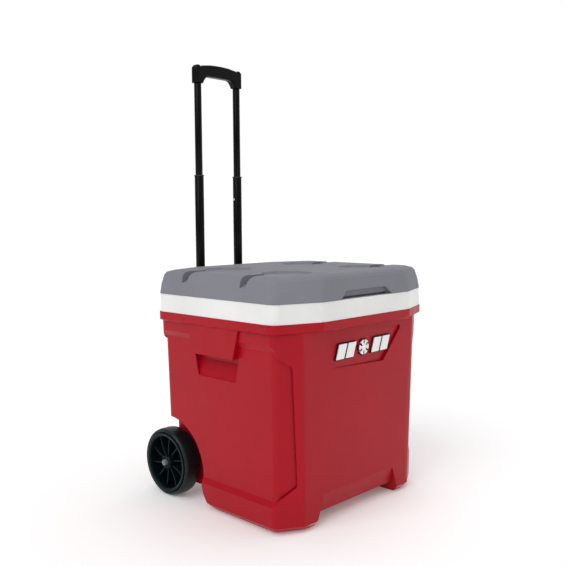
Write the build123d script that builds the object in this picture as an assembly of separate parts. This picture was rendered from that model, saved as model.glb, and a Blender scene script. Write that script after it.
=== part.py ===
"""Wheeled picnic cooler: hinged lid, telescoping tow handle, two wheels on a steel axle.

Millimetres, +Z up. Front faces -Y, the tow handle is at +Y. Built about the middle of the body,
then moved so that the origin is under the middle of the whole object.
"""
from build123d import *
import math
import os

# ---- driving dimensions -------------------------------------------------------------------
ORIGIN_Y = 25.0            # middle of the whole length, measured from the middle of the body

RIM_X, RIM_Y = 255.0, 226.0            # half size of the rim under the lid
RIM_FACET = (106.0, 40.0)              # corner facet legs of rim, collar and lid
RIM_ROUND = 26.0
RIM_LOW, RIM_TOP = 416.0, 437.0
COLLAR_TOP = 477.0
LID_LOW, LID_TOP = 477.4, 530.0

BODY_FACET = (56.0, 33.0)              # corner facet legs of the red body
REAR_CUT = 9.0                         # the body's rear facets are this much shallower
BODY_ROUND = 14.0
BODY_FOOT = (215.0, 184.0)             # half size at the floor
BODY_HEM = (235.6, 200.4)              # half size just above the rounded bottom edge
BODY_HEAD = (245.5, 206.8)             # half size under the rim
HEM_Z = 16.0
BELLY_Z = 28.0                         # underside between the wheels
SCOOP_TOP, SCOOP_HEM, SCOOP_LOW = 68.0, 26.0, 8.0      # heights of the raised hem between the front feet
SCOOP_WIDE, SCOOP_NARROW = 145.0, 120.0                # half width of that hem, below and above
WALL = 3.0                             # moulded wall of shell and lid
LINER_WALL = 2.4

PANEL_FOOT, PANEL_HEAD = 228.1, 237.4  # half width across the sunk side panels at floor and rim
PANEL_FACET = (60.5, 36.5)
PANEL_DRAFT = 58.0                     # slope of the sunk panel's edges, degrees from square
PANEL_LEAN = 0.0219                    # how much the side faces lean out over their height

TUB_LOW, TUB_FOOT, TUB_HEAD = 40.0, (206.0, 176.0), (218.0, 186.0)
TUB_FACET = (50.0, 34.0)

WHEEL_Y, WHEEL_R = 186.0, 78.5
WHEEL_IN, WHEEL_OUT = 198.0, 242.0
WELL_Y, WELL_Z, WELL_R = 174.0, 76.0, 113.5    # wheel arch, whose middle is ahead of the axle
WELL_IN = 188.0                        # inner wall of the wheel wells
AXLE_R, RUNNING_FIT = 5.0, 0.05
STEP_Y, STEP_TOP = 150.0, 112.0        # step across the rear for the axle

POLE_X, POLE_Y = 64.0, 260.0
SLEEVE_R, SLEEVE_BORE = 13.0, 11.7
MID_R, MID_BORE = 11.25, 9.75
INNER_R, INNER_BORE = 9.0, 8.0
SLEEVE_LOW, SLEEVE_TOP = 84.0, 450.0
MID_LOW, MID_TOP = 384.0, 754.0
INNER_LOW, INNER_TOP = 664.0, 1004.0
BUTTON_Z = 695.0
MID_TRAVEL = 292.0                     # how far the middle tubes slide down into the sleeves
BUTTON_LOW_Z = BUTTON_Z - MID_TRAVEL - 5

GRIP_LOW, GRIP_TOP = 979.5, 1027.0
GRIP_HALF, GRIP_DEEP = 75.5, 23.0

SPINE_X, SPINE_Y, SPINE_LOW, SPINE_TOP = 105.0, 240.0, 120.0, 405.0
BRACKET_Y = 276.0

HINGE_X, HINGE_Y, HINGE_Z = 126.0, 227.0, 512.0
KNUCKLE_R, PIN_R = 6.0, 2.5

CUP_X, CUP_R, CUP_LOW = 128.0, 50.0, 525.0
CUP_REAR_Y, CUP_FRONT_Y = 84.0, -104.0
SPILL_LOW = 505.5                      # floor of the cup channels where they leave the lid's side

DRAIN_X, DRAIN_Z = 60.0, 60.0

SIDES = {"left": -1, "right": 1}
CLEAR, BELOW = 320.0, 20.0             # cutting solids run this far out and below the floor


# ---- small helpers ------------------------------------------------------------------------
def block(x0, x1, y0, y1, z0, z1):
    """Box between two corners."""
    middle = Pos((x0 + x1) / 2, (y0 + y1) / 2, (z0 + z1) / 2)
    return middle * Box(abs(x1 - x0), abs(y1 - y0), abs(z1 - z0))


def rod_x(x0, x1, y, z, radius):
    return Pos((x0 + x1) / 2, y, z) * Rot(0, 90, 0) * Cylinder(radius, abs(x1 - x0))


def rod_y(x, y0, y1, z, radius):
    return Pos(x, (y0 + y1) / 2, z) * Rot(90, 0, 0) * Cylinder(radius, abs(y1 - y0))


def rod_z(x, y, z0, z1, radius):
    return Pos(x, y, (z0 + z1) / 2) * Cylinder(radius, abs(z1 - z0))


def pipe_z(x, y, z0, z1, radius, bore):
    return rod_z(x, y, z0, z1, radius) - rod_z(x, y, z0 - 1, z1 + 1, bore)


def side_prism(points, x0, x1):
    """Outline in (Y, Z), carried along X."""
    return extrude(Plane.YZ.offset(x0) * Polygon(*points, align=None), x1 - x0, dir=(1, 0, 0))


def front_prism(points, y0, y1):
    """Outline in (X, Z), carried along Y."""
    return extrude(Plane.XZ.offset(-y0) * Polygon(*points, align=None), y1 - y0, dir=(0, 1, 0))


def facet_outline(half_x, half_y, legs, radius, rear_cut=0.0):
    """Rectangle with four corner facets, the rear ones shallower by rear_cut, its corners rounded."""
    leg_x, leg_y = legs
    rear = [(half_x, half_y - leg_y + rear_cut), (half_x - leg_x, half_y)]
    front = [(half_x, leg_y - half_y), (half_x - leg_x, -half_y)]
    points = rear + [(-x, y) for x, y in reversed(rear)]
    points += [(-x, y) for x, y in front]
    points += reversed(front)
    face = Polygon(*points, align=None)
    return fillet(face.vertices(), radius)


def facet_stack(levels, legs, radius, rear_cut=0.0):
    """Solid through (z, half_x, half_y) levels of the faceted outline."""
    faces = [Pos(0, 0, z) * facet_outline(a, b, legs, radius, rear_cut) for z, a, b in levels]
    return loft(faces, ruled=True)


def both_sides(maker):
    return maker(-1) + maker(1)


def soften(solid, edges, size):
    """Round the edges if the kernel can, else leave them sharp."""
    for radius in (size, size / 2):
        try:
            rounded = fillet(edges, radius)
            if rounded.is_valid:
                return rounded
        except (ValueError, RuntimeError):
            continue
    return solid


# ---- spaces cut out of the body -----------------------------------------------------------
def wheel_wells(grow):
    """Round-topped wells at the two rear corners, open to the rear and below."""
    radius, inner = WELL_R + grow, WELL_IN - grow

    def one(side):
        arch = rod_x(side * inner, side * CLEAR, WELL_Y, WELL_Z, radius)
        leg = block(side * inner, side * CLEAR, WELL_Y - radius, CLEAR, -BELOW, WELL_Z)
        return arch + leg

    return both_sides(one)


def axle_step(grow):
    return block(-WELL_IN, WELL_IN, STEP_Y - grow, CLEAR, -BELOW, STEP_TOP + grow)


def front_scoop(grow):
    """Raised hem between the front feet: the face leans in, then the floor drops to a low channel."""
    top, hem, channel = SCOOP_TOP + grow, SCOOP_HEM + grow, SCOOP_LOW + grow
    lean = [(-CLEAR, -BELOW), (-CLEAR, top), (-201, top), (-187 + grow, hem), (-150 + grow, channel),
            (170, channel), (170, -BELOW)]
    wide, narrow = SCOOP_WIDE + grow, SCOOP_NARROW + grow
    gate = [(-wide, -BELOW), (wide, -BELOW), (wide, 0), (narrow, top), (-narrow, top), (-wide, 0)]
    return side_prism(lean, -200, 200) & front_prism(gate, -CLEAR, 170)


GRIP_REAR, GRIP_FRONT = 72.0, -62.0    # ends of the moulded side grips
LEDGE_LOW = 353.0                      # underside of their ledges


def grip_ledge(side):
    """Side grip: a ledge moulded under the rim, its front end slanted."""
    outline = [(GRIP_REAR, LEDGE_LOW), (GRIP_FRONT, LEDGE_LOW), (-76, 400), (-80, RIM_LOW + 4),
               (GRIP_REAR + 4, RIM_LOW + 4)]
    return side_prism(outline, min(side * 215, side * 250), max(side * 215, side * 250))


def grip_pocket(side, grow):
    """Hand pocket below the ledge, and the finger hollow that runs up behind it."""
    low, high = 302 - grow, 388 + grow
    deep, face = 222 - grow, 262
    mouth = [(GRIP_REAR + 4 + grow, LEDGE_LOW), (GRIP_REAR - 6 + grow, low), (GRIP_FRONT + 6 - grow, low),
             (GRIP_FRONT - 5 - grow, LEDGE_LOW)]
    scoop = [(side * face, low - 12), (side * 233, low), (side * deep, 340 - grow), (side * deep, LEDGE_LOW),
             (side * face, LEDGE_LOW)]
    pocket = side_prism(mouth, min(side * deep, side * face), max(side * deep, side * face))
    pocket = pocket & front_prism(scoop, -120, 120)
    hollow = block(side * deep, side * (246 + grow), GRIP_FRONT + 8 - grow, GRIP_REAR - 8 + grow,
                   LEDGE_LOW - 1, high)
    return pocket + hollow


def badge_place():
    return Location((22, -202.9, 362), (3.5, 0, 1.6))


def badge_recess():
    """Wedge-shaped recess on the front: flush at its upper left, deep at its lower right."""
    outline = [(-98, 400), (-92, 332), (77, 325), (139, 393), (139, 400)]
    prism = front_prism(outline, -240, -190)
    return prism & (badge_place() * block(-220, 220, -60, 0, -100, 100))


# ---- body ---------------------------------------------------------------------------------
def panel_recess():
    """The sunk side panels, which wrap round the corner facets."""
    core = facet_stack([(-5, PANEL_FOOT, 201.2), (420, PANEL_HEAD, 207.8)], PANEL_FACET, BODY_ROUND, REAR_CUT)
    outline = [(-194, 100), (-170, 71), (184, 71), (201, 96), (201, 350), (184, 380), (-170, 380), (-194, 348)]

    def one(side):
        plane = Plane(origin=(side * PANEL_FOOT, 0, 0), x_dir=(0, 1, 0), z_dir=(side, 0, -PANEL_LEAN))
        points = [(y, z) for y, z in outline] if side > 0 else [(y, -z) for y, z in outline]
        flat = plane * fillet(Polygon(*points, align=None).vertices(), 10)
        deep = extrude(flat, 43, dir=(-side, 0, PANEL_LEAN))
        return deep + extrude(flat, 24, dir=(side, 0, -PANEL_LEAN), taper=-PANEL_DRAFT)

    return both_sides(one) - core


def body_outer():
    foot, hem, head = BODY_FOOT, BODY_HEM, BODY_HEAD
    hull = facet_stack([(0, *foot), (4, foot[0] + 9, foot[1] + 7.5), (HEM_Z, *hem), (RIM_LOW + 2, *head)],
                       BODY_FACET, BODY_ROUND, REAR_CUT)
    rim = facet_stack([(RIM_LOW, RIM_X - 4, RIM_Y - 4), (RIM_LOW + 3, RIM_X, RIM_Y), (RIM_TOP, RIM_X, RIM_Y)],
                      RIM_FACET, RIM_ROUND)
    spine = side_prism([(190, SPINE_LOW), (SPINE_Y, SPINE_LOW + 8), (SPINE_Y, SPINE_TOP - 6), (200, SPINE_TOP)],
                       -SPINE_X, SPINE_X)
    return hull - panel_recess() + rim + spine + both_sides(grip_ledge)


def body_hollow():
    """The space inside the shell wall, filled by foam and liner."""
    inner = facet_stack([(8 + WALL, PANEL_FOOT - WALL, 197.4), (RIM_TOP + 1, PANEL_HEAD - WALL, 204.2)],
                        PANEL_FACET, BODY_ROUND, REAR_CUT)
    spine = block(-SPINE_X + WALL, SPINE_X - WALL, 190, SPINE_Y - WALL, SPINE_LOW + 12, SPINE_TOP - 12)
    badge = block(-104, 146, -215, -195.5, 316, 404)
    hollow = inner + spine - badge - wheel_wells(WALL) - axle_step(WALL) - front_scoop(WALL)
    hollow = hollow - foot_rounding(WALL) - raised_belly(WALL)
    return hollow - grip_pocket(-1, WALL) - grip_pocket(1, WALL)


def drain_hole():
    return rod_y(DRAIN_X, 100, 160, DRAIN_Z, 10.0)


def raised_belly(grow):
    """The underside between the wheels stands clear of the floor."""
    start, low, high = 36 - grow, SCOOP_LOW + grow, BELLY_Z + grow
    rise = [(start, -BELOW), (start, low), (start + 22, high), (CLEAR, high), (CLEAR, -BELOW)]
    return side_prism(rise, grow - WELL_IN, WELL_IN - grow)


def foot_rounding(grow):
    """Rounds the rear ends of the feet, next to the wheels."""
    radius = 58.0
    rear = WELL_Y - WELL_R

    def one(side):
        x0, x1 = sorted((side * (WELL_IN - grow), side * CLEAR))
        corner = block(x0, x1, rear - radius, rear + 5, -5, radius)
        return corner - rod_x(x0 - 1, x1 + 1, rear - radius, radius, radius - grow)

    return both_sides(one)


def tub(grow, low, high):
    """Liner tub, its lower rear corners stepped over the wheels and the axle."""
    slope_x = (TUB_HEAD[0] - TUB_FOOT[0]) / (RIM_TOP - TUB_LOW)
    slope_y = (TUB_HEAD[1] - TUB_FOOT[1]) / (RIM_TOP - TUB_LOW)
    ends = [(z, TUB_FOOT[0] + slope_x * (z - TUB_LOW) + grow, TUB_FOOT[1] + slope_y * (z - TUB_LOW) + grow)
            for z in (low, high)]
    return facet_stack(ends, TUB_FACET, 24) - wheel_wells(17 - grow) - axle_step(17 - grow)


def body_pieces():
    hollow = body_hollow()
    scoops = wheel_wells(0) + axle_step(0) + front_scoop(0) + badge_recess() + drain_hole()
    pockets = grip_pocket(-1, 0) + grip_pocket(1, 0) + foot_rounding(0) + raised_belly(0)
    shell = body_outer() - scoops - pockets - hollow
    collar = facet_stack([(RIM_TOP, RIM_X - 0.8, RIM_Y - 0.8), (COLLAR_TOP, RIM_X - 2.4, RIM_Y - 2)],
                         RIM_FACET, RIM_ROUND)
    collar_hollow = facet_stack([(RIM_TOP - 1, RIM_X - 4, RIM_Y - 4), (COLLAR_TOP - 4, RIM_X - 5, RIM_Y - 5)],
                                RIM_FACET, RIM_ROUND)
    tub_outer = tub(0, TUB_LOW, COLLAR_TOP)
    tub_inner = tub(-LINER_WALL, TUB_LOW + LINER_WALL, COLLAR_TOP + 1)
    liner = collar - collar_hollow + tub_outer - tub_inner - drain_hole()
    upper = collar_hollow & block(-300, 300, -300, 300, RIM_TOP, COLLAR_TOP)
    lower = hollow & block(-300, 300, -300, 300, 0, RIM_TOP)
    foam = lower + upper - tub_outer - drain_hole()
    return {"shell": shell, "liner": liner, "shell_foam": foam}


def emblem():
    """Raised badge: a six-armed snow crystal between pairs of slanted bars. No lettering."""
    crystal = Circle(4)
    for turn in range(3):
        crystal += Rot(0, 0, 60 * turn) * Rectangle(33, 5.6)
    for turn in range(6):
        for lean in (-52, 52):
            branch = Pos(11.5, 0) * Rot(0, 0, lean) * Pos(3.2, 0) * Rectangle(6.4, 3.6)
            crystal += Rot(0, 0, 60 * turn) * branch
    width, slant, half = 26.0, 9.0, 16.0
    marks = [Pos(1.5, 0) * crystal]
    for start in (-94, -62, 30, 62):
        corners = [(start, -half), (start + width, -half), (start + width + slant, half), (start + slant, half)]
        marks.append(Polygon(*corners, align=None))
    level = Plane(origin=(0, 0, 0), x_dir=(1, 0, 0), z_dir=(0, -1, 0))
    pieces = []
    for mark in marks:
        raised = extrude(level * mark, 5.5, dir=(0, -1, 0))
        pieces += (badge_place() * Pos(-20, 0, 4) * raised).solids()
    return Compound(pieces)


# ---- lid ----------------------------------------------------------------------------------
def lid_levels(inset, low):
    """Outline levels of the lid from its hem to its top, all moved in by one wall."""
    return [(low, 253.8 - inset, 224.8 - inset), (500 - inset / 4, 252.4 - inset, 220.5 - inset),
            (520.5 - inset, 247.8 - inset, 215.5 - inset), (526.5 - inset, 243.5 - inset, 211.0 - inset),
            (LID_TOP - inset, 233.0 - inset, 200.5 - inset)]


def cup_recess(side, grow):
    """Two octagonal drink recesses, each with a channel that falls to the lid's edge, for one side."""
    floor, spill, above = CUP_LOW - grow, SPILL_LOW - grow, LID_TOP + 30
    x0, x1 = sorted((side * CUP_X, side * CLEAR))
    fall = [(side * (CUP_X - 10), above), (side * (CUP_X - 10), floor), (side * 196, floor),
            (side * 250, spill), (side * CLEAR, spill - 10), (side * CLEAR, above)]
    spaces = []
    for y, wall in ((CUP_REAR_Y, 100), (CUP_FRONT_Y, -88)):
        ring = RegularPolygon(CUP_R + grow, 8, major_radius=False, rotation=22.5)
        spaces.append(Pos(side * CUP_X, y, floor) * extrude(ring, LID_TOP - floor + 1, taper=-40))
        near, far = wall + grow, wall - 17 - grow
        channel = [(near, above), (near, 490), (far, 490), (far, spill), (far - 4, 519), (far - 12, LID_TOP),
                   (far - 12, above)]
        spaces.append(side_prism(channel, x0, x1) & front_prism(fall, -200, 200))
    return spaces


def finger_recess(grow):
    """Notch under the lid's front hem for the fingers: a shallow face over a deeper slot."""
    outline = [(-92 - grow, 440), (-92 - grow, LID_LOW), (-72 - grow, 495 + grow), (64 + grow, 495 + grow),
               (84 + grow, LID_LOW), (84 + grow, 440)]
    face = front_prism(outline, -260, -213 + grow)
    slot = block(-84 - grow, 78 + grow, -230, -203 + grow, 440, 482 + grow)
    return face + slot


def lid_pieces():
    cups = cup_recess(-1, 0) + cup_recess(1, 0)
    cup_walls = cup_recess(-1, WALL) + cup_recess(1, WALL)
    outer = facet_stack(lid_levels(0, LID_LOW), RIM_FACET, RIM_ROUND)
    hollow = facet_stack(lid_levels(WALL, LID_LOW), RIM_FACET, RIM_ROUND) - finger_recess(WALL)
    for space in cup_walls:
        hollow -= space
    shell = outer - finger_recess(0)
    for space in cups:
        shell -= space
    shell -= hollow
    plate_top = LID_LOW + 3
    plug = facet_stack([(466, 208, 175), (plate_top, 211, 178)], TUB_FACET, 20)
    plug_hollow = facet_stack([(468.4, 205.6, 172.6), (plate_top, 208.6, 175.6)], TUB_FACET, 18)
    plate = hollow & block(-300, 300, -300, 300, LID_LOW, plate_top)
    liner = plate + plug - plug_hollow
    foam = (hollow & block(-300, 300, -300, 300, plate_top, 600)) + plug_hollow
    return {"lid_shell": shell, "lid_liner": liner, "lid_foam": foam}


# ---- hinges -------------------------------------------------------------------------------
def hinge_pieces(name, side):
    """Base with two ears on the collar, leaf with a knuckle on the lid, pin, and their screw places."""
    face_low, face_high = RIM_Y - 0.95, RIM_Y - 1.9        # the collar's rear face beside the plate
    pin_x = side * HINGE_X
    base = side_prism([(face_low, 442), (face_low + 3.5, 442), (face_high + 4.5, 474), (face_high, 474)],
                      pin_x - 20, pin_x + 20)
    neck = [(face_high + 1, 470), (face_high + 5.5, 470), (HINGE_Y + 5.5, HINGE_Z), (HINGE_Y, HINGE_Z)]
    for ear in (-16, 16):
        base += side_prism(neck, pin_x + ear - 4, pin_x + ear + 4)
        base += rod_x(pin_x + ear - 4, pin_x + ear + 4, HINGE_Y, HINGE_Z, KNUCKLE_R)
    base -= rod_x(pin_x - 25, pin_x + 25, HINGE_Y, HINGE_Z, PIN_R)
    left, right = pin_x - 11.6, pin_x + 11.6
    leaf = side_prism([(223.6, 484), (226.4, 484), (224.4, 500), (HINGE_Y, HINGE_Z - 5.5),
                       (HINGE_Y, HINGE_Z + 5.5), (217.0, 517), (217.2, 503)], left, right)
    leaf += rod_x(left, right, HINGE_Y, HINGE_Z, KNUCKLE_R)
    leaf -= facet_stack(lid_levels(0, LID_LOW), RIM_FACET, RIM_ROUND)
    leaf -= rod_x(left - 5, right + 5, HINGE_Y, HINGE_Z, PIN_R + RUNNING_FIT)
    pin = rod_x(pin_x - 21.5, pin_x + 21.5, HINGE_Y, HINGE_Z, PIN_R)
    for end in (-1, 1):
        pin += rod_x(pin_x + end * 20, pin_x + end * 22, HINGE_Y, HINGE_Z, PIN_R + 1.5)
    base_places = [Location((pin_x + dx, face_low + 4.0, 449)) for dx in (-13, 13)]
    base_places += [Location((pin_x, face_low + 4.2, 463))]
    leaf_places = [Location((pin_x + dx, 225.6, 491), (-7, 0, 0)) for dx in (-6, 6)]
    pieces = {f"hinge_base_{name}": base, f"hinge_leaf_{name}": leaf, f"hinge_pin_{name}": pin}
    return pieces, base_places, leaf_places


def pan_screw(place, length):
    """Pan head facing +Y with a cross recess; its shank runs toward -Y."""
    head = Rot(-90, 0, 0) * (Pos(0, 0, 0.9) * Cylinder(3.4, 1.8))
    slots = block(-2.1, 2.1, 1.0, 3, -0.45, 0.45) + block(-0.45, 0.45, 1.0, 3, -2.1, 2.1)
    shank = Rot(-90, 0, 0) * (Pos(0, 0, -length / 2) * Cylinder(1.6, length))
    return place * (head + shank - slots)


# ---- wheels and axle ----------------------------------------------------------------------
SPOKES = 10
RIM_SEAT_R, HUB_R = 68.0, 16.0


def ring_x(x0, x1, radius, bore):
    x0, x1 = sorted((x0, x1))
    return rod_x(x0, x1, WHEEL_Y, WHEEL_R, radius) - rod_x(x0 - 1, x1 + 1, WHEEL_Y, WHEEL_R, bore)


def wheel_profile(points, side):
    """Outline of (distance from the axle, distance along it), turned about the axle."""
    plane = Plane(origin=(0, WHEEL_Y, WHEEL_R), x_dir=(0, 0, 1), z_dir=(0, side, 0))
    face = plane * Polygon(*points, align=None)
    return revolve(face, Axis((0, WHEEL_Y, WHEEL_R), (1, 0, 0)))


def wheel_pieces(name, side):
    tread = wheel_profile([(RIM_SEAT_R, 202), (74, 198.8), (77.2, 203), (WHEEL_R, 210), (WHEEL_R, 230),
                           (77.0, 237.5), (73.5, 241.4), (RIM_SEAT_R, 238)], side)
    rim = wheel_profile([(RIM_SEAT_R, 202), (RIM_SEAT_R, 238), (68.8, 241.6), (66, 242), (61.5, 240.8), (60, 236),
                         (59.2, 214), (60, 204)], side)
    web = ring_x(side * 211, side * 214.5, 60.5, 15)
    hub = wheel_profile([(AXLE_R + RUNNING_FIT, 193), (12, 193), (14, 205), (HUB_R, 214), (HUB_R, 237),
                         (13.5, 240.5), (11, 240.5), (11, 237.5), (AXLE_R + RUNNING_FIT, 237.5)], side)
    plane = Plane(origin=(side * 213, WHEEL_Y, WHEEL_R), x_dir=(0, -1, 0), z_dir=(side, 0, 0))
    curve = ThreePointArc((HUB_R - 2, 0), (40, 3.5), (61, 1))
    rib = trace(curve, 2.4)
    wheel = rim + web + hub
    for turn in range(SPOKES):
        wheel += extrude(plane * (Rot(0, 0, 360 / SPOKES * turn + 9) * rib), 20, dir=(side, 0, 0))
    washer = ring_x(side * (WELL_IN + 0.1), side * 192.6, 11, AXLE_R)
    cap = ring_x(side * 238, side * 245, 7, AXLE_R) + rod_x(side * 245, side * 247, WHEEL_Y, WHEEL_R, 5.5)
    return {f"tread_{name}": tread, f"wheel_{name}": wheel, f"axle_washer_{name}": washer, f"axle_cap_{name}": cap}


def axle_bracket(side):
    """Plate that hangs from the step's ceiling and carries the axle."""
    x0, x1 = sorted((side * 174, side * 187.5))
    plate = side_prism([(172, STEP_TOP), (172, 74), (178, 66), (194, 66), (199, 74), (199, STEP_TOP)], x0, x1)
    flange = block(side * 148, side * 187, 168, 199, STEP_TOP - 4, STEP_TOP)
    return plate + flange - rod_x(side * 160, side * 190, WHEEL_Y, WHEEL_R, AXLE_R)


# ---- tow handle ---------------------------------------------------------------------------
def clamp_bracket(low, high, floor):
    """Two sleeve clamps joined by a web on the spine."""
    bracket = block(-82, 82, SPINE_Y, SPINE_Y + 9, low, high)
    for side in (-1, 1):
        x0, x1 = sorted((side * 46, side * 82))
        bracket += block(x0, x1, SPINE_Y, BRACKET_Y, low, high)
    bracket = soften(bracket, bracket.edges().filter_by(Axis.Z), 4)
    for side in (-1, 1):
        bracket -= rod_z(side * POLE_X, POLE_Y, floor, high + 1, SLEEVE_R)
    return bracket


def tube_end(side, z0, z1, radius, bore):
    return pipe_z(side * POLE_X, POLE_Y, z0, z1, radius, bore)


def handle_fixed(name, side):
    """Outer sleeve and its guide, slotted on the inward side so that the snap button can pass."""
    x0, x1 = sorted((side * (POLE_X - 8), side * (POLE_X - 20)))
    slot = block(x0, x1, POLE_Y - 3.5, POLE_Y + 3.5, BUTTON_LOW_Z, SLEEVE_TOP + 20)
    sleeve = tube_end(side, SLEEVE_LOW, SLEEVE_TOP, SLEEVE_R, SLEEVE_BORE) - slot
    guide = tube_end(side, SLEEVE_TOP, SLEEVE_TOP + 8, 15, MID_R + RUNNING_FIT)
    guide += tube_end(side, SLEEVE_TOP - 12, SLEEVE_TOP, 15, SLEEVE_R)
    return {f"tow_sleeve_{name}": sleeve, f"tow_guide_{name}": guide - slot}


def handle_mid(name, side):
    tube = tube_end(side, MID_LOW, MID_TOP - 3, MID_R, MID_BORE)
    hole = rod_x(side * (POLE_X - 14), side * (POLE_X - 8), POLE_Y, BUTTON_Z, 3.05)
    tube = tube - hole
    slider = tube_end(side, MID_LOW - 4, MID_LOW, SLEEVE_BORE - RUNNING_FIT, 7)
    collar = tube_end(side, MID_TOP - 3, MID_TOP, 12.4, INNER_R + RUNNING_FIT)
    collar += tube_end(side, MID_TOP - 14, MID_TOP - 3, MID_BORE, INNER_R + RUNNING_FIT)
    return {f"tow_tube_mid_{name}": tube, f"tow_slider_mid_{name}": slider, f"tow_collar_{name}": collar}


def handle_top(name, side):
    tube = tube_end(side, INNER_LOW + 4, INNER_TOP, INNER_R, INNER_BORE)
    tube = tube - rod_x(side * (POLE_X - 10), side * (POLE_X - 6), POLE_Y, BUTTON_Z, 3.5)
    slider = tube_end(side, INNER_LOW, INNER_LOW + 4, MID_BORE - RUNNING_FIT, 5)
    slider += tube_end(side, INNER_LOW + 4, INNER_LOW + 16, INNER_BORE, 5)
    return {f"tow_tube_inner_{name}": tube, f"tow_slider_inner_{name}": slider}


def snap_button(side):
    """Press button in the middle tube's inward face; it travels toward the tube's axis."""
    start, end = side * (POLE_X - 9.5), side * (POLE_X - 13.0)
    button = rod_x(start, end, POLE_Y, BUTTON_Z, 3.0)
    tip = button.faces().sort_by(Axis.X)[0 if side > 0 else -1]
    return soften(button, tip.edges(), 1.2)


def grip():
    """Bridge-shaped tow grip: two end blocks and a crossbar with a crowned top."""
    half, low, top = GRIP_HALF, GRIP_LOW, GRIP_TOP
    right = [(52.5, low), (half, low), (half, top - 10), (half - 5, top - 4), (half - 11, top - 3.5),
             (60, top - 7.5), (55, top - 4.5), (30, top - 1), (10, top)]
    left = [(-x, z) for x, z in reversed(right)]
    under = [(-50, 985), (-43, 994), (-35, 997), (35, 997), (43, 994), (50, 985)]
    solid = front_prism(right + left + under, POLE_Y - GRIP_DEEP / 2, POLE_Y + GRIP_DEEP / 2)
    lengthwise = [e for e in solid.edges() if abs(e.center().Y - POLE_Y) > GRIP_DEEP / 2 - 0.5
                  and (e.center().Z > low + 1)]
    solid = soften(solid, lengthwise, 5.5)
    for side in (-1, 1):
        solid -= rod_z(side * POLE_X, POLE_Y, low - 1, INNER_TOP, INNER_R)
    return solid


def screws(places, length):
    return Compound([solid for place in places for solid in pan_screw(place, length).solids()])


# ---- drain --------------------------------------------------------------------------------
def drain_pieces():
    x, z = DRAIN_X, DRAIN_Z
    inner_face, outer_face = STEP_Y - 17 - LINER_WALL, STEP_Y
    spout = rod_y(x, inner_face - 4, 163, z, 10) + rod_y(x, inner_face - 4, inner_face, z, 15)
    spout = spout - rod_y(x, 100, 200, z, 7)
    seal = rod_y(x, outer_face, outer_face + 2, z, 16) - rod_y(x, 100, 200, z, 10)
    nut = rod_y(x, outer_face + 2, outer_face + 6, z, 15) - rod_y(x, 100, 200, z, 10)
    cap = rod_y(x, outer_face + 6.5, 168, z, 14.5) - rod_y(x, 140, 163.6, z, 10 + RUNNING_FIT)
    for turn in range(12):
        angle = math.radians(30 * turn)
        cap -= rod_y(x + 15.6 * math.cos(angle), 150, 172, z + 15.6 * math.sin(angle), 2)
    return {"drain_spout": spout, "drain_seal": seal, "drain_nut": nut, "drain_cap": cap}


# ---- everything ---------------------------------------------------------------------------
SCREWED = {                            # each group of screws and the pieces it goes through
    "hinge_base_screws": ("hinge_base_left", "hinge_base_right", "liner", "shell_foam"),
    "hinge_leaf_screws": ("hinge_leaf_left", "hinge_leaf_right", "lid_shell", "lid_foam"),
    "tow_bracket_screws": ("tow_bracket_top", "tow_bracket_low", "shell", "shell_foam"),
    "axle_bracket_screws": ("axle_bracket_left", "axle_bracket_right", "shell", "shell_foam"),
    "grip_screws": ("grip", "tow_tube_inner_left", "tow_tube_inner_right"),
}


def build():
    pieces = body_pieces()
    pieces["emblem"] = emblem()
    pieces.update(lid_pieces())
    base_places, leaf_places = [], []
    for name, side in SIDES.items():
        hinge, base, leaf = hinge_pieces(name, side)
        pieces.update(hinge)
        base_places += base
        leaf_places += leaf
        pieces.update(wheel_pieces(name, side))
        pieces[f"axle_bracket_{name}"] = axle_bracket(side)
        pieces.update(handle_fixed(name, side))
        pieces.update(handle_mid(name, side))
        pieces.update(handle_top(name, side))
        pieces[f"snap_button_{name}"] = snap_button(side)
    pieces["hinge_base_screws"] = screws(base_places, 9)
    pieces["hinge_leaf_screws"] = screws(leaf_places, 9)
    pieces["axle"] = rod_x(-245, 245, WHEEL_Y, WHEEL_R, AXLE_R)
    pieces["tow_bracket_top"] = clamp_bracket(358, 396, 300)
    pieces["tow_bracket_low"] = clamp_bracket(78, 150, SLEEVE_LOW)
    web = SPINE_Y + 9
    top_places = [Location((x, web, z)) for x in (-24, 24) for z in (368, 386)]
    low_places = [Location((x, web, 138)) for x in (-24, 24)]
    pieces["tow_bracket_screws"] = screws(top_places + low_places, 16)
    under = [Location((side * 156, y, STEP_TOP - 4), (-90, 0, 0)) for side in (-1, 1) for y in (176, 190)]
    pieces["axle_bracket_screws"] = screws(under, 12)
    pieces["grip"] = grip()
    grip_places = [Location((side * POLE_X, POLE_Y + GRIP_DEEP / 2, 990)) for side in (-1, 1)]
    pieces["grip_screws"] = screws(grip_places, 5)
    pieces.update(drain_pieces())
    for screw_group, hosts in SCREWED.items():
        for host in hosts:
            pieces[host] = pieces[host] - pieces[screw_group]
    return pieces


def main():
    os.makedirs("parts", exist_ok=True)
    for name, piece in build().items():
        placed = Pos(0, -ORIGIN_Y, 0) * piece
        export_step(placed, f"parts/{name}.step")
        print(name, round(piece.volume / 1000, 1), "cm3")


main()
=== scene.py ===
"""Wheeled picnic cooler: finishes, rounded edges, a dark step of painted shadow round the badge's marks and
a plain studio.
"""

import math

import bmesh
import bpy
from bpy.props import FloatProperty, FloatVectorProperty, PointerProperty
from mathutils import Matrix, Vector


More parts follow.
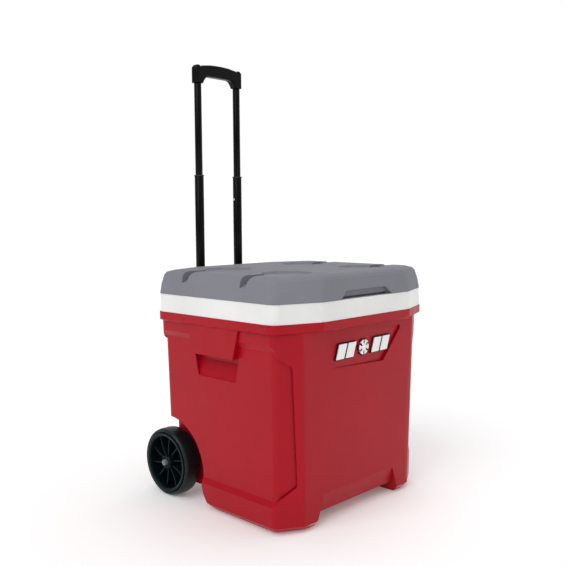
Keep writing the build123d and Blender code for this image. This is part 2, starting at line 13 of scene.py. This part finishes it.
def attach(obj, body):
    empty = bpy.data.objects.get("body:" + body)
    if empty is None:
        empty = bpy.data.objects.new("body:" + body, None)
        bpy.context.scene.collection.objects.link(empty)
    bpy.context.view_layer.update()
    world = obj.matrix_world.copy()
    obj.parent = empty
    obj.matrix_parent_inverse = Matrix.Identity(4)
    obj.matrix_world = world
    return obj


bl_info = {
    "name": "Wheeled Cooler",
    "version": (1, 0, 0),
    "blender": (4, 5, 0),
    "location": "View3D > Sidebar > Cooler",
    "description": "Dresses the packed parts of a wheeled cooler and sets up a studio",
    "category": "Object",
}

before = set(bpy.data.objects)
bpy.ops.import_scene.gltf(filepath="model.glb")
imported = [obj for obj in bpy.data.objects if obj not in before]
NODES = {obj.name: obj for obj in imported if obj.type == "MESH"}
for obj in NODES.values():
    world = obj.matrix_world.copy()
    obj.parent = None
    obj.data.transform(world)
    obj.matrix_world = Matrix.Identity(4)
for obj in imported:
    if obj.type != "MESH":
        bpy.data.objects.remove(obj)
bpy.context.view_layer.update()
SIDES = ("left", "right")

# Lengths are in metres and angles in degrees.
WELD_REACH = 0.00001        # points of one node this close are joined before its edges are rounded
SHARP_ANGLE = 32            # edges that fold by more than this are rounded
BEVEL_STEPS = 2
SCREW_EDGE = 0.0002         # rounding of screw heads
THIN_EDGE = 0.0003          # rounding of tube ends, washers and the drain's seal
WHEEL_EDGE = 0.0006
LID_LINER_EDGE = 0.0008
BRACKET_EDGE = 0.0012
TREAD_EDGE = 0.0015
GRIP_EDGE = 0.0015
TREAD_LIGHTER = 1.1         # the tread's colour over the wheel's
PAINTED_SHADOW_DEPTH = 0.74        # the painted shadow step's depth over the mark's

# Colours of the small parts, in linear red, green and blue.
HINGE_GREY = (0.09, 0.09, 0.10)
CAP_GREY = (0.15, 0.165, 0.17)
DRAIN_WHITE = (0.72, 0.72, 0.71)
BUTTON_STEEL = (0.75, 0.75, 0.76)
BRACKET_BLACK = (0.02, 0.02, 0.021)
TOW_BRACKET_BLACK = (0.015, 0.015, 0.016)
GUIDE_BLACK = (0.012, 0.012, 0.013)
RUBBER_BLACK = (0.012, 0.012, 0.012)
# near-black of the step round the badge's marks, which paints their shadow
PAINTED_SHADOW_BLACK = (0.012, 0.006, 0.007)

# Noise runs mostly between these two, so finishes stretch this part of it.
NOISE_LOW, NOISE_HIGH = 0.3, 0.7

FLOOR_REACH = 60.0
FLOOR_ALBEDO = 0.95
KEY_FROM, KEY_SPREAD = (-0.8, -0.12, 0.62), 55
OVERHEAD_FROM, OVERHEAD_SPREAD = (0.1, 0.05, 1), 40
CAMERA_AT = (-1.28724, -1.24532, 0.64923)
CAMERA_LOOK = (0.713854, 0.694831, -0.087302)
CAMERA_RIGHT = (0.697046, -0.716994, -0.006880)
CAMERA_SENSOR = 36          # millimetres
CAMERA_REACH = 100


# ---- sizes and colours that a user would change ---------------------------------------------
def length(name, description, default):
    return FloatProperty(name=name, description=description, default=default, unit="LENGTH", precision=5)


def amount(name, description, default):
    return FloatProperty(name=name, description=description, default=default, min=0.0, max=10.0)


def colour(name, description, default):
    return FloatVectorProperty(name=name, description=description, default=default, subtype="COLOR",
                               size=3, min=0.0, max=1.0)


class CoolerColours(bpy.types.PropertyGroup):
    shell: colour("Shell", "Red of the moulded outer shell", (0.37, 0.001, 0.010))
    lid: colour("Lid", "Grey of the lid", (0.215, 0.215, 0.245))
    liner: colour("Liner", "White of the liner and its collar", (0.79, 0.79, 0.78))
    badge: colour("Badge", "White of the raised badge", (0.86, 0.86, 0.86))
    wheel: colour("Wheel", "Near-black of the wheels", (0.0016, 0.0065, 0.0075))
    tube: colour("Tube", "Gloss black of the tow tubes", (0.0035, 0.0035, 0.004))
    foam: colour("Foam", "Cream of the insulating foam", (0.78, 0.66, 0.38))
    steel: colour("Steel", "Bare steel of the axle, pins and screws", (0.56, 0.57, 0.58))


class CoolerSizes(bpy.types.PropertyGroup):
    shell_edge: length("Shell edge", "Rounding of the shell's moulded edges", 0.0016)
    lid_edge: length("Lid edge", "Rounding of the lid's moulded edges", 0.0016)
    small_edge: length("Small edge", "Rounding of the hardware's edges", 0.0005)
    badge_edge: length("Badge edge", "Rounding of the badge's edges", 0.0008)
    # the dark step round each raised mark is painted shadow
    badge_shadow_rim: length("Badge rim", "Width of the dark step round each raised mark", 0.0016)
    grain: length("Grain", "Width of one grain of the moulded texture", 0.0016)


class CoolerStudio(bpy.types.PropertyGroup):
    key: amount("Key light", "Brightness of the wide soft light on the left", 1.55)
    room: amount("Room light", "Mean brightness of the room around the cooler", 0.72)
    slope: amount("Room slope", "How much brighter the room is towards the right", 0.5)
    overhead: amount("Overhead light", "Brightness of the light above", 0.4)
    floor_glow: amount("Floor glow", "Light that the floor gives out, to keep it pale", 0.12)
    lens: FloatProperty(name="Lens", description="Focal length of the camera", default=48.21, unit="CAMERA")


def colours():
    return bpy.context.scene.cooler_colours


def sizes():
    return bpy.context.scene.cooler_sizes


# ---- finishes -------------------------------------------------------------------------------
class Finish:
    """A procedural material: a Principled surface with tone, gloss and relief in object space."""

    def __init__(self, name, base, roughness, metallic=0.0, specular=0.5):
        self.material = bpy.data.materials.new(name)
        self.material.use_nodes = True
        self.tree = self.material.node_tree
        self.base = tuple(base)
        self.roughness = roughness
        self.surface = self.tree.nodes["Principled BSDF"]
        self.surface.inputs["Base Color"].default_value = (*self.base, 1)
        self.surface.inputs["Roughness"].default_value = roughness
        self.surface.inputs["Metallic"].default_value = metallic
        self.surface.inputs["Specular IOR Level"].default_value = specular
        self.place = self.tree.nodes.new("ShaderNodeTexCoord").outputs["Object"]
        self.relief = None

    def link(self, output, socket):
        self.tree.links.new(output, socket)

    def noise(self, scale, detail=3.0, stretch=(1, 1, 1)):
        mapping = self.tree.nodes.new("ShaderNodeMapping")
        mapping.inputs["Scale"].default_value = stretch
        self.link(self.place, mapping.inputs["Vector"])
        texture = self.tree.nodes.new("ShaderNodeTexNoise")
        texture.inputs["Scale"].default_value = scale
        texture.inputs["Detail"].default_value = detail
        self.link(mapping.outputs["Vector"], texture.inputs["Vector"])
        return texture.outputs["Fac"]

    def cells(self, scale):
        texture = self.tree.nodes.new("ShaderNodeTexVoronoi")
        texture.inputs["Scale"].default_value = scale
        self.link(self.place, texture.inputs["Vector"])
        return texture.outputs["Distance"]

    def tone(self, scale, spread, stretch=(1, 1, 1)):
        """Slow change of colour, darker and lighter by spread; scale is in cycles per metre."""
        ramp = self.tree.nodes.new("ShaderNodeValToRGB")
        ramp.color_ramp.elements[0].position = NOISE_LOW
        ramp.color_ramp.elements[1].position = NOISE_HIGH
        ramp.color_ramp.elements[0].color = (*[c * (1 - spread) for c in self.base], 1)
        ramp.color_ramp.elements[1].color = (*[min(1, c * (1 + spread)) for c in self.base], 1)
        self.link(self.noise(scale, 4, stretch), ramp.inputs["Fac"])
        self.link(ramp.outputs["Color"], self.surface.inputs["Base Color"])
        return self

    def gloss(self, scale, spread, stretch=(1, 1, 1)):
        """Handling marks: the roughness wanders by spread."""
        span = self.tree.nodes.new("ShaderNodeMapRange")
        span.inputs["From Min"].default_value = NOISE_LOW
        span.inputs["From Max"].default_value = NOISE_HIGH
        span.inputs["To Min"].default_value = self.roughness - spread
        span.inputs["To Max"].default_value = self.roughness + spread
        self.link(self.noise(scale, 5, stretch), span.inputs["Value"])
        self.link(span.outputs["Result"], self.surface.inputs["Roughness"])
        return self

    def bump(self, height, distance, strength=1.0):
        """Relief in the surface, added over any relief that is there already."""
        node = self.tree.nodes.new("ShaderNodeBump")
        node.inputs["Strength"].default_value = strength
        node.inputs["Distance"].default_value = distance
        self.link(height, node.inputs["Height"])
        if self.relief:
            self.link(self.relief, node.inputs["Normal"])
        self.relief = node.outputs["Normal"]
        self.link(self.relief, self.surface.inputs["Normal"])
        return self


def moulded(name, base, roughness, grain, waviness=0.0004, specular=0.45):
    """Moulded plastic: fine leather grain, faint sink waves, handled gloss."""
    finish = Finish(name, base, roughness, specular=specular)
    finish.tone(7, 0.05).gloss(26, 0.05)
    finish.bump(finish.noise(5.5, 2), waviness, 0.5)
    finish.bump(finish.noise(1 / grain, 2), grain * 0.05, 0.6)
    finish.bump(finish.cells(0.7 / grain), grain * 0.03, 0.35)
    return finish.material


def gloss_black(name, base, roughness):
    """Painted or polished black, smoother than moulded plastic."""
    finish = Finish(name, base, roughness, specular=0.1)
    finish.tone(40, 0.2).gloss(60, 0.05)
    finish.bump(finish.noise(900, 2), 0.00004, 0.5)
    return finish.material


def bare_steel(name, base):
    """Drawn steel, with its fine lines round the long way."""
    finish = Finish(name, base, roughness=0.32, metallic=1.0)
    finish.tone(90, 0.1).gloss(130, 0.08, (0.15, 1, 1))
    finish.bump(finish.noise(2500, 3, (0.05, 1, 1)), 0.00002, 0.6)
    return finish.material


def foam_finish(name, base):
    """Cut foam: open cells over soft lumps."""
    finish = Finish(name, base, roughness=0.9, specular=0.2)
    finish.tone(30, 0.12)
    finish.bump(finish.cells(420), 0.0006, 0.8)
    finish.bump(finish.noise(60, 4), 0.001, 0.4)
    return finish.material


def rubber_finish(name):
    """Matt black rubber."""
    finish = Finish(name, RUBBER_BLACK, roughness=0.7, specular=0.3)
    finish.tone(60, 0.25).gloss(80, 0.08)
    finish.bump(finish.noise(1500, 3), 0.00005, 0.8)
    return finish.material


# ---- dressing CAD nodes ---------------------------------------------------------------------
def dress(node, material, edge=0.0):
    """Gives a CAD node its material and, where edge is set, rounds its sharp edges."""
    if node not in NODES:
        raise RuntimeError("The frame has no " + node)
    piece = NODES[node]
    piece.data.materials.clear()
    piece.data.materials.append(material)
    if not edge:
        return piece
    weld = piece.modifiers.new("Weld", "WELD")
    weld.merge_threshold = WELD_REACH
    bevel = piece.modifiers.new("Moulded edge", "BEVEL")
    bevel.width = edge
    bevel.segments = BEVEL_STEPS
    bevel.limit_method = "ANGLE"
    bevel.angle_limit = math.radians(SHARP_ANGLE)
    bevel.harden_normals = True
    return piece


def new_piece(name, mesh, material, body):
    """Adds a fine detail that rides on a CAD body."""
    piece = bpy.data.objects.new(name, mesh)
    bpy.context.scene.collection.objects.link(piece)
    piece.data.materials.append(material)
    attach(piece, body)
    return piece


# ---- operators: one for each piece or group of like pieces ----------------------------------
class COOLER_OT_shell(bpy.types.Operator):
    """Finish the red moulded shell"""
    bl_idname = "cooler.shell"
    bl_label = "Shell"

    def execute(self, context):
        red = moulded("Red shell", colours().shell, roughness=0.38, grain=sizes().grain, specular=0.2)
        dress("shell", red, sizes().shell_edge)
        return {"FINISHED"}


class COOLER_OT_liner(bpy.types.Operator):
    """Finish the white liner, its collar and the lid's underside"""
    bl_idname = "cooler.liner"
    bl_label = "Liner"

    def execute(self, context):
        white = moulded("White liner", colours().liner, roughness=0.33, grain=0.0008, waviness=0.0003)
        dress("liner", white, sizes().lid_edge)
        dress("lid_liner", white, LID_LINER_EDGE)
        return {"FINISHED"}


class COOLER_OT_foam(bpy.types.Operator):
    """Finish the foam inside the walls and the lid"""
    bl_idname = "cooler.foam"
    bl_label = "Foam"

    def execute(self, context):
        cream = foam_finish("Foam", colours().foam)
        for node in ("shell_foam", "lid_foam"):
            dress(node, cream)
        return {"FINISHED"}


class COOLER_OT_lid(bpy.types.Operator):
    """Finish the grey lid"""
    bl_idname = "cooler.lid"
    bl_label = "Lid"

    def execute(self, context):
        grey = moulded("Grey lid", colours().lid, roughness=0.62, grain=sizes().grain, specular=0.1)
        dress("lid_shell", grey, sizes().lid_edge)
        return {"FINISHED"}


class COOLER_OT_badge(bpy.types.Operator):
    """Finish the raised badge"""
    bl_idname = "cooler.badge"
    bl_label = "Badge"

    def execute(self, context):
        finish = Finish("White badge", colours().badge, roughness=0.25)
        finish.tone(60, 0.02).gloss(80, 0.05)
        finish.bump(finish.noise(700, 2), 0.00004, 0.5)
        emblem = dress("emblem", finish.material, sizes().badge_edge)
        self.painted_shadow_step(emblem, sizes().badge_shadow_rim)
        return {"FINISHED"}

    def painted_shadow_step(self, emblem, rim):
        """A dark step behind each mark, a little wider than the mark itself, painting the shadow round the
        raised marks.
        """
        mesh = bmesh.new()
        mesh.from_mesh(emblem.data)
        bmesh.ops.remove_doubles(mesh, verts=mesh.verts, dist=WELD_REACH)
        waiting = set(mesh.verts)
        while waiting:
            island, edge = set(), [waiting.pop()]
            while edge:
                vert = edge.pop()
                island.add(vert)
                near = {link.other_vert(vert) for link in vert.link_edges} - island
                edge.extend(near)
                island |= near
            waiting -= island
            low = [min(vert.co[axis] for vert in island) for axis in range(3)]
            high = [max(vert.co[axis] for vert in island) for axis in range(3)]
            for vert in island:
                for axis in (0, 2):
                    middle, half = (low[axis] + high[axis]) / 2, (high[axis] - low[axis]) / 2
                    vert.co[axis] = middle + (vert.co[axis] - middle) * (half + rim) / half
                vert.co.y = high[1] - (high[1] - vert.co.y) * PAINTED_SHADOW_DEPTH
        data = bpy.data.meshes.new("emblem_painted_shadow")
        mesh.to_mesh(data)
        mesh.free()
        # near-black finish on the step: painted shadow round the marks
        black = moulded("Badge backing", PAINTED_SHADOW_BLACK, roughness=0.5, grain=0.0008, specular=0.2)
        new_piece("emblem_painted_shadow", data, black, "body")


class COOLER_OT_hinges(bpy.types.Operator):
    """Finish the two lid hinges"""
    bl_idname = "cooler.hinges"
    bl_label = "Hinges"

    def execute(self, context):
        grey = moulded("Hinge grey", HINGE_GREY, roughness=0.45, grain=0.001)
        steel = bare_steel("Hinge pin steel", colours().steel)
        for side in SIDES:
            dress(f"hinge_base_{side}", grey, sizes().small_edge)
            dress(f"hinge_leaf_{side}", grey, sizes().small_edge)
            dress(f"hinge_pin_{side}", steel, sizes().small_edge)
        for node in ("hinge_base_screws", "hinge_leaf_screws"):
            dress(node, steel, SCREW_EDGE)
        return {"FINISHED"}


class COOLER_OT_wheels(bpy.types.Operator):
    """Finish the wheels, their treads, caps and washers"""
    bl_idname = "cooler.wheels"
    bl_label = "Wheels"

    def execute(self, context):
        disc = moulded("Wheel disc", colours().wheel, roughness=0.3, grain=0.0009, specular=0.12)
        lighter = [c * TREAD_LIGHTER for c in colours().wheel]
        tread = moulded("Wheel tread", lighter, roughness=0.42, grain=0.0012, waviness=0.0002, specular=0.3)
        cap = moulded("Axle cap", CAP_GREY, roughness=0.4, grain=0.0008)
        steel = bare_steel("Washer steel", colours().steel)
        for side in SIDES:
            dress(f"wheel_{side}", disc, WHEEL_EDGE)
            dress(f"tread_{side}", tread, TREAD_EDGE)
            dress(f"axle_cap_{side}", cap, sizes().small_edge)
            dress(f"axle_washer_{side}", steel, THIN_EDGE)
        return {"FINISHED"}


class COOLER_OT_axle(bpy.types.Operator):
    """Finish the axle and its brackets"""
    bl_idname = "cooler.axle"
    bl_label = "Axle"

    def execute(self, context):
        steel = bare_steel("Axle steel", colours().steel)
        black = moulded("Bracket black", BRACKET_BLACK, roughness=0.45, grain=0.001)
        dress("axle", steel, sizes().small_edge)
        dress("axle_bracket_screws", steel, SCREW_EDGE)
        for side in SIDES:
            dress(f"axle_bracket_{side}", black, sizes().small_edge)
        return {"FINISHED"}


class COOLER_OT_tow_tubes(bpy.types.Operator):
    """Finish the sleeves, tubes, guides and snap buttons of the tow handle"""
    bl_idname = "cooler.tow_tubes"
    bl_label = "Tow tubes"

    def execute(self, context):
        tube = gloss_black("Black tube", colours().tube, roughness=0.22)
        black = moulded("Guide black", GUIDE_BLACK, roughness=0.4, grain=0.0008)
        steel = bare_steel("Button steel", BUTTON_STEEL)
        for side in SIDES:
            for node in ("tow_sleeve", "tow_tube_mid", "tow_tube_inner"):
                dress(f"{node}_{side}", tube, THIN_EDGE)
            for node in ("tow_guide", "tow_slider_mid", "tow_collar", "tow_slider_inner"):
                dress(f"{node}_{side}", black, sizes().small_edge)
            dress(f"snap_button_{side}", steel)
        return {"FINISHED"}


class COOLER_OT_tow_brackets(bpy.types.Operator):
    """Finish the two brackets that hold the sleeves"""
    bl_idname = "cooler.tow_brackets"
    bl_label = "Tow brackets"

    def execute(self, context):
        black = moulded("Tow bracket black", TOW_BRACKET_BLACK, roughness=0.45, grain=0.0012)
        dress("tow_bracket_top", black, BRACKET_EDGE)
        dress("tow_bracket_low", black, BRACKET_EDGE)
        dress("tow_bracket_screws", bare_steel("Bracket screw steel", colours().steel), SCREW_EDGE)
        return {"FINISHED"}


class COOLER_OT_grip(bpy.types.Operator):
    """Finish the tow grip"""
    bl_idname = "cooler.grip"
    bl_label = "Tow grip"

    def execute(self, context):
        dress("grip", gloss_black("Grip black", colours().tube, roughness=0.3), GRIP_EDGE)
        dress("grip_screws", bare_steel("Grip screw steel", colours().steel), SCREW_EDGE)
        return {"FINISHED"}


class COOLER_OT_drain(bpy.types.Operator):
    """Finish the drain spout, seal, nut and cap"""
    bl_idname = "cooler.drain"
    bl_label = "Drain"

    def execute(self, context):
        white = moulded("Drain white", DRAIN_WHITE, roughness=0.35, grain=0.0008)
        for node in ("drain_spout", "drain_nut", "drain_cap"):
            dress(node, white, sizes().small_edge)
        dress("drain_seal", rubber_finish("Seal rubber"), THIN_EDGE)
        return {"FINISHED"}


class COOLER_OT_studio(bpy.types.Operator):
    """Set up the pale floor, the soft lights and the camera"""
    bl_idname = "cooler.studio"
    bl_label = "Studio"

    def room(self, studio):
        """A room that is white to look at, and lights the cooler more from the right."""
        world = bpy.data.worlds.new("Studio")
        world.use_nodes = True
        tree = world.node_tree
        seen = tree.nodes["Background"]
        seen.inputs["Color"].default_value = (1, 1, 1, 1)
        lighting = tree.nodes.new("ShaderNodeBackground")
        direction = tree.nodes.new("ShaderNodeTexCoord").outputs["Generated"]
        along = tree.nodes.new("ShaderNodeVectorMath")
        along.operation = "DOT_PRODUCT"
        along.inputs[1].default_value = (1, 0, 0)
        tree.links.new(direction, along.inputs[0])
        span = tree.nodes.new("ShaderNodeMapRange")
        span.inputs["From Min"].default_value = -1
        span.inputs["To Min"].default_value = studio.room - studio.slope
        span.inputs["To Max"].default_value = studio.room + studio.slope
        tree.links.new(along.outputs["Value"], span.inputs["Value"])
        tree.links.new(span.outputs["Result"], lighting.inputs["Strength"])
        choose = tree.nodes.new("ShaderNodeMixShader")
        tree.links.new(tree.nodes.new("ShaderNodeLightPath").outputs["Is Camera Ray"], choose.inputs["Fac"])
        tree.links.new(lighting.outputs["Background"], choose.inputs[1])
        tree.links.new(seen.outputs["Background"], choose.inputs[2])
        tree.links.new(choose.outputs["Shader"], tree.nodes["World Output"].inputs["Surface"])
        return world

    def soft_sun(self, name, towards, power, spread):
        """A sun wide enough for soft shadows; towards points from the cooler to the light."""
        lamp = bpy.data.lights.new(name, "SUN")
        lamp.energy = power
        lamp.angle = math.radians(spread)
        holder = bpy.data.objects.new(name, lamp)
        holder.rotation_euler = Vector(towards).to_track_quat("Z", "Y").to_euler()
        bpy.context.scene.collection.objects.link(holder)

    def floor(self, studio):
        """A wide pale floor that fades into the white room."""
        mesh = bpy.data.meshes.new("Floor")
        edge = FLOOR_REACH
        corners = [(-edge, -edge, 0), (edge, -edge, 0), (edge, edge, 0), (-edge, edge, 0)]
        mesh.from_pydata(corners, [], [(0, 1, 2, 3)])
        floor = bpy.data.objects.new("Floor", mesh)
        bpy.context.scene.collection.objects.link(floor)
        pale = Finish("Pale floor", [FLOOR_ALBEDO] * 3, roughness=0.9, specular=0.05)
        pale.tone(2, 0.003)
        pale.surface.inputs["Emission Color"].default_value = (1, 1, 1, 1)
        pale.surface.inputs["Emission Strength"].default_value = studio.floor_glow
        floor.data.materials.append(pale.material)

    def execute(self, context):
        scene = context.scene
        studio = scene.cooler_studio
        self.floor(studio)
        scene.world = self.room(studio)
        self.soft_sun("Key", KEY_FROM, studio.key, KEY_SPREAD)
        self.soft_sun("Overhead", OVERHEAD_FROM, studio.overhead, OVERHEAD_SPREAD)
        scene.view_settings.view_transform = "Standard"
        camera = bpy.data.objects.new("Camera", bpy.data.cameras.new("Camera"))
        camera.data.sensor_width = CAMERA_SENSOR
        camera.data.lens = studio.lens
        camera.data.clip_end = CAMERA_REACH
        scene.collection.objects.link(camera)
        look = Vector(CAMERA_LOOK).normalized()
        right = Vector(CAMERA_RIGHT).normalized()
        up = right.cross(look)
        turn = Matrix((right, up, -look)).transposed().to_4x4()
        camera.matrix_world = Matrix.Translation(CAMERA_AT) @ turn
        scene.camera = camera
        return {"FINISHED"}


PIECES = (COOLER_OT_shell, COOLER_OT_liner, COOLER_OT_foam, COOLER_OT_lid, COOLER_OT_badge, COOLER_OT_hinges,
          COOLER_OT_wheels, COOLER_OT_axle, COOLER_OT_tow_tubes, COOLER_OT_tow_brackets, COOLER_OT_grip,
          COOLER_OT_drain, COOLER_OT_studio)


class COOLER_PT_panel(bpy.types.Panel):
    """Lists the cooler's pieces and settings"""
    bl_idname = "COOLER_PT_panel"
    bl_label = "Wheeled cooler"
    bl_space_type = "VIEW_3D"
    bl_region_type = "UI"
    bl_category = "Cooler"

    def draw(self, context):
        for operator in PIECES:
            self.layout.operator(operator.bl_idname)
        for group in (context.scene.cooler_sizes, context.scene.cooler_colours, context.scene.cooler_studio):
            box = self.layout.box()
            for name in group.__annotations__:
                box.prop(group, name)


CLASSES = (CoolerColours, CoolerSizes, CoolerStudio, *PIECES, COOLER_PT_panel)


def register():
    for cls in CLASSES:
        bpy.utils.register_class(cls)
    bpy.types.Scene.cooler_colours = PointerProperty(type=CoolerColours)
    bpy.types.Scene.cooler_sizes = PointerProperty(type=CoolerSizes)
    bpy.types.Scene.cooler_studio = PointerProperty(type=CoolerStudio)


def unregister():
    del bpy.types.Scene.cooler_studio
    del bpy.types.Scene.cooler_sizes
    del bpy.types.Scene.cooler_colours
    for cls in reversed(CLASSES):
        bpy.utils.unregister_class(cls)


def main():
    register()
    for operator in PIECES:
        group, name = operator.bl_idname.split(".")
        getattr(getattr(bpy.ops, group), name)()


if __name__ == "__main__":
    main()
